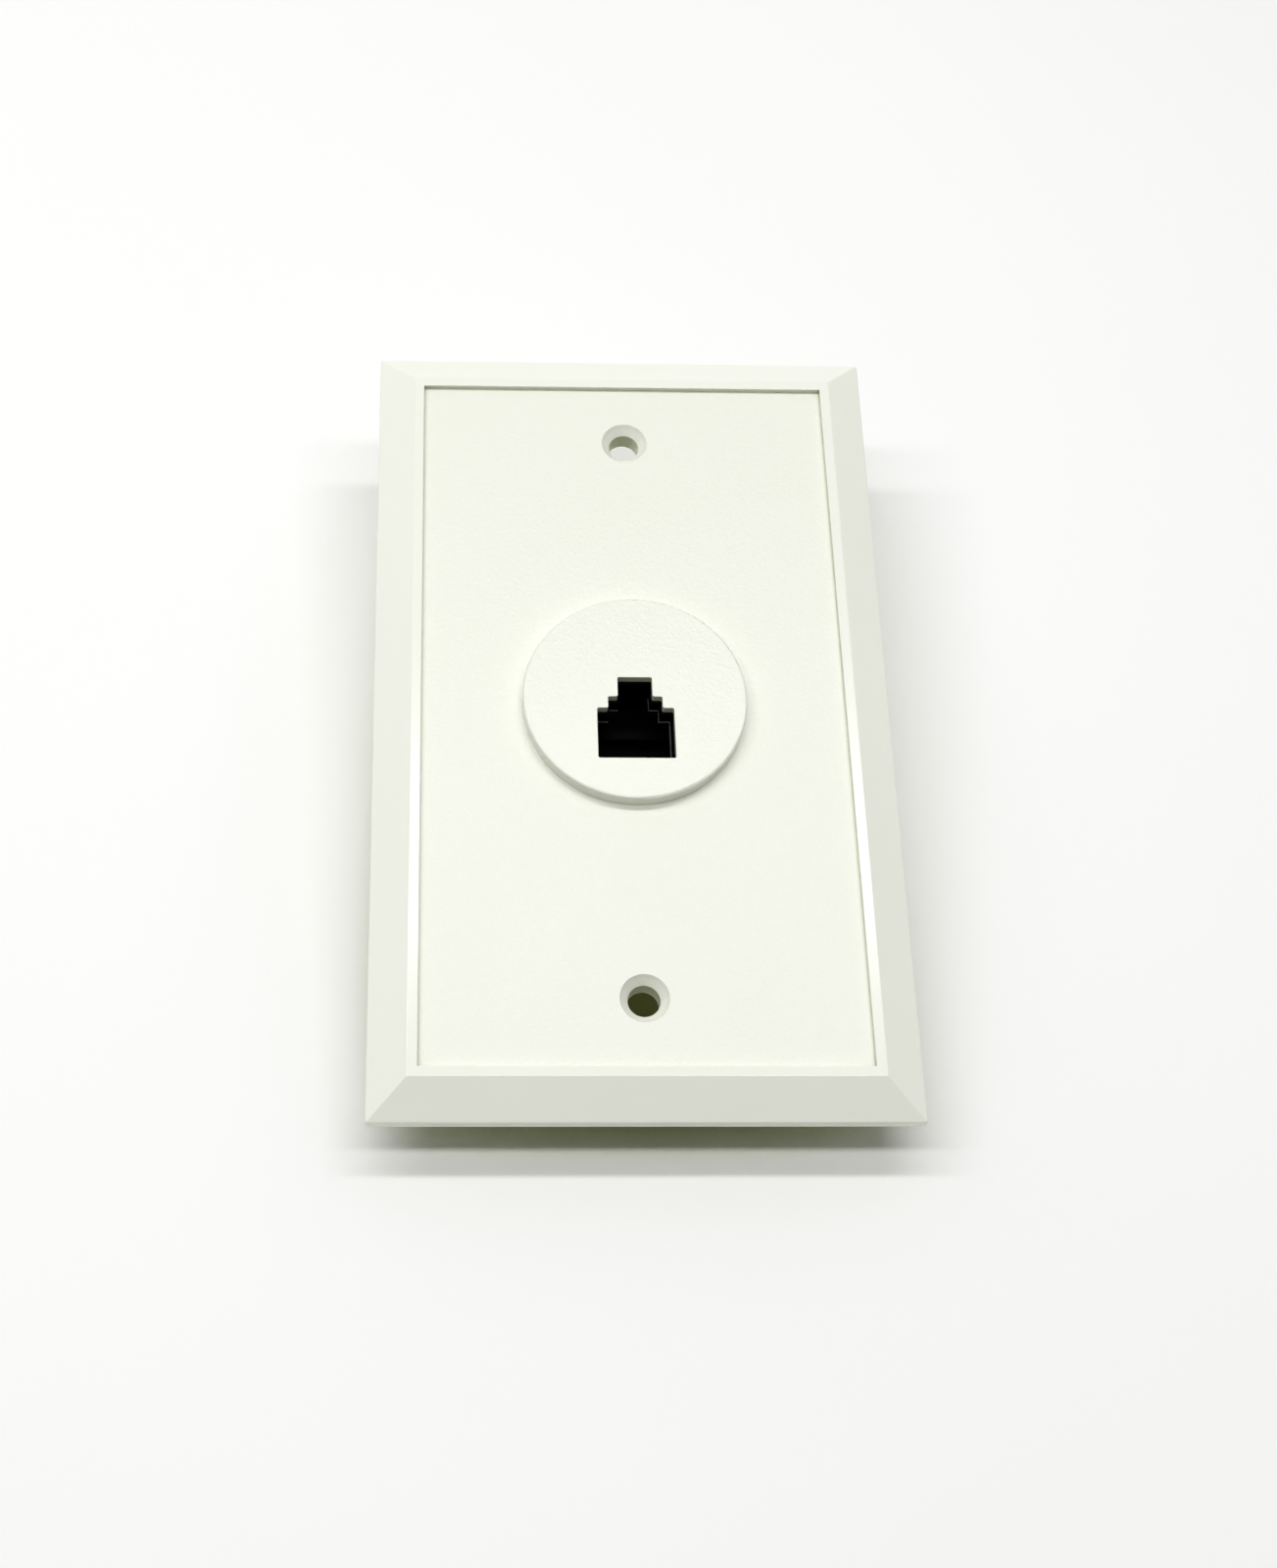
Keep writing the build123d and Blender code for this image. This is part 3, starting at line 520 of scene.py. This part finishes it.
# Leads. Stranded wire in soft extruded PVC, one in each of the four line colours. The skin is
# smooth and waxy, with a slow unevenness from the strands under it.
strand_lay = 0.0012
strand_relief = 0.00003
for name, dark, light in (
    ("green", "#0E6B34", "#15803F"),
    ("red", "#A31A1C", "#B92523"),
    ("black", "#121212", "#1A1A1A"),
    ("yellow", "#DDB51E", "#E8C433"),
):
    pvc, nodes = new_material(f"extruded_pvc_{name}")
    place = add(nodes, "ShaderNodeTexCoord")
    lay = add(nodes, "ShaderNodeTexNoise", {
        "Vector": place.outputs["Object"], "Scale": 1 / strand_lay, "Detail": 2.0,
    })
    colour = add(nodes, "ShaderNodeMix", {
        mix_share: lay.outputs["Fac"], mix_a: linear(dark), mix_b: linear(light),
    }, data_type="RGBA")
    rough = add(nodes, "ShaderNodeMapRange", {"Value": lay.outputs["Fac"], "To Min": 0.3, "To Max": 0.44})
    relief = add(nodes, "ShaderNodeBump", {"Height": lay.outputs["Fac"], "Distance": strand_relief})
    skin = add(nodes, "ShaderNodeBsdfPrincipled", {
        "Base Color": colour.outputs[mixed], "Roughness": rough.outputs[0],
        "Normal": relief.outputs[0], "IOR": 1.53,
    })
    add(nodes, "ShaderNodeOutputMaterial", {"Surface": skin.outputs[0]})
    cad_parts[f"lead_{name}"].material_slots[0].material = pvc

# Spade lugs. Stamped brass with bright tin over it: pale grey metal, a little cloudy. The
# washers and the block screws are plated too, so their sections use the same function.


def plated_metal(name, dark, light, patch, detail, smoothest, roughest, height):
    # A plated skin whose colour and gloss drift together in small patches.
    material, nodes = new_material(name)
    place = add(nodes, "ShaderNodeTexCoord")
    cloud = add(nodes, "ShaderNodeTexNoise", {
        "Vector": place.outputs["Object"], "Scale": 1 / patch, "Detail": detail,
    })
    colour = add(nodes, "ShaderNodeMix", {
        mix_share: cloud.outputs["Fac"], mix_a: linear(dark), mix_b: linear(light),
    }, data_type="RGBA")
    rough = add(nodes, "ShaderNodeMapRange", {
        "Value": cloud.outputs["Fac"], "To Min": smoothest, "To Max": roughest,
    })
    relief = add(nodes, "ShaderNodeBump", {"Height": cloud.outputs["Fac"], "Distance": height})
    plating = add(nodes, "ShaderNodeBsdfPrincipled", {
        "Base Color": colour.outputs[mixed], "Metallic": 1.0, "Roughness": rough.outputs[0],
        "Normal": relief.outputs[0],
    })
    add(nodes, "ShaderNodeOutputMaterial", {"Surface": plating.outputs[0]})
    return material


tin = plated_metal(
    "tinned_stamped_brass", dark="#BFBEB6", light="#D4D3CB", patch=0.0009, detail=4.0,
    smoothest=0.26, roughest=0.42, height=0.00001,
)
for number in range(1, 5):
    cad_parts[f"spade_lug_{number}"].material_slots[0].material = tin

# Cup washers. Stamped steel, nickel plated: warm grey and brighter than the tinned lugs.
nickel = plated_metal(
    "nickel_plated_steel", dark="#C2BBAC", light="#D5CFC1", patch=0.0006, detail=5.0,
    smoothest=0.18, roughest=0.34, height=0.000005,
)
for number in range(1, 5):
    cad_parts[f"cup_washer_{number}"].material_slots[0].material = nickel

# Terminal screws. Turned brass: yellow metal with fine rings round the axis on the head, where
# the tool faced it off. The rings are drawn 0.25 mm apart, coarser than real ones.
brass_dark, brass_light = "#BF9A50", "#D9B96C"
screw_head = 0.0064
ring_spacing = 0.00025
ring_relief = 0.000006
stain_size = 0.0011
turned_brass, nodes = new_material("turned_brass")
place = add(nodes, "ShaderNodeTexCoord")
centred = add(nodes, "ShaderNodeVectorMath", {
    0: place.outputs["Generated"], 1: (0.5, 0.5, 0.5),
}, operation="SUBTRACT")
flat = add(nodes, "ShaderNodeVectorMath", {
    0: centred.outputs[0], 1: (screw_head, 0.0, screw_head),
}, operation="MULTIPLY")
radius = add(nodes, "ShaderNodeVectorMath", {0: flat.outputs[0]}, operation="LENGTH")
turn = add(nodes, "ShaderNodeMath", {
    0: radius.outputs["Value"], 1: 2 * math.pi / ring_spacing,
}, operation="MULTIPLY")
rings = add(nodes, "ShaderNodeMath", {0: turn.outputs[0]}, operation="SINE")
stain = add(nodes, "ShaderNodeTexNoise", {
    "Vector": place.outputs["Object"], "Scale": 1 / stain_size, "Detail": 4.0,
})
colour = add(nodes, "ShaderNodeMix", {
    mix_share: stain.outputs["Fac"], mix_a: linear(brass_dark), mix_b: linear(brass_light),
}, data_type="RGBA")
rough = add(nodes, "ShaderNodeMapRange", {"Value": stain.outputs["Fac"], "To Min": 0.24, "To Max": 0.4})
relief = add(nodes, "ShaderNodeBump", {"Height": rings.outputs[0], "Distance": ring_relief})
screw = add(nodes, "ShaderNodeBsdfPrincipled", {
    "Base Color": colour.outputs[mixed], "Metallic": 1.0, "Roughness": rough.outputs[0],
    "Normal": relief.outputs[0],
})
add(nodes, "ShaderNodeOutputMaterial", {"Surface": screw.outputs[0]})
for number in range(1, 5):
    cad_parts[f"terminal_screw_{number}"].material_slots[0].material = turned_brass

# Block screws. Cold-headed steel, zinc plated: cool blue-grey with a frosted skin.
zinc = plated_metal(
    "zinc_plated_steel", dark="#A9AFB4", light="#C3C8CC", patch=0.0005, detail=5.0,
    smoothest=0.3, roughest=0.48, height=0.00001,
)
for name in ("block_screw_top", "block_screw_bottom"):
    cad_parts[name].material_slots[0].material = zinc
